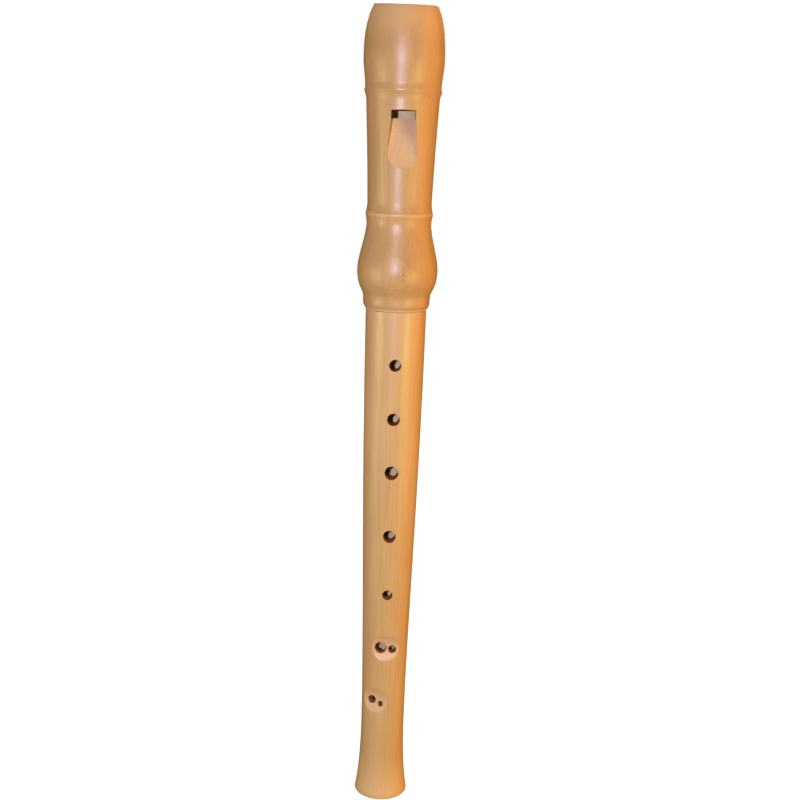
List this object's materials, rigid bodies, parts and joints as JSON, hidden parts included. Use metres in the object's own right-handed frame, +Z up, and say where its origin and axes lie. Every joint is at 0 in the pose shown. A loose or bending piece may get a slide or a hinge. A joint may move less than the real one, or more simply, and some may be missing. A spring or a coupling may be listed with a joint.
{
  "type": "soprano recorder",
  "caption": "Soprano recorder: turned wooden head with beak, windway block, window and socket, on a one-piece tapered body with finger holes, thumb hole, corked tenon and flared foot.",
  "frame": {"origin": "centre of the end of the foot, on the axis of the bore", "axes": "+Z up the bore from the foot to the beak, -Y out of the front where the window and finger holes are, +X to the right of someone who looks at the front"},
  "size_m": [0.032, 0.032, 0.3255],
  "materials": {
    "head_wood": "satin lacquered pearwood, with bare wood on the window, ramp and bore",
    "body_wood": "satin lacquered pearwood, with bare wood in the holes, hollows and bore",
    "block_cedar": "bare cedar, end grain at the beak",
    "cork": "natural cork, waxed"
  },
  "bodies": {
    "body": {"body_joint": "body_wood"},
    "cork": {"tenon_cork": "cork"},
    "head": {"head_joint": "head_wood"},
    "block": {"windway_block": "block_cedar"}
  },
  "joints": [
    {"name": "head_turn", "type": "hinge", "parent": "body", "child": "cork", "pos_m": [0, 0, 0.2206], "axis": [0, 0, 1], "continuous": true},
    {"name": "head_pull", "type": "slide", "parent": "cork", "child": "head", "axis": [0, 0, 1], "range_m": [0, 0.03]},
    {"name": "block_push", "type": "slide", "parent": "head", "child": "block", "axis": [0, 0, 1], "range_m": [0, 0.045]}
  ]
}
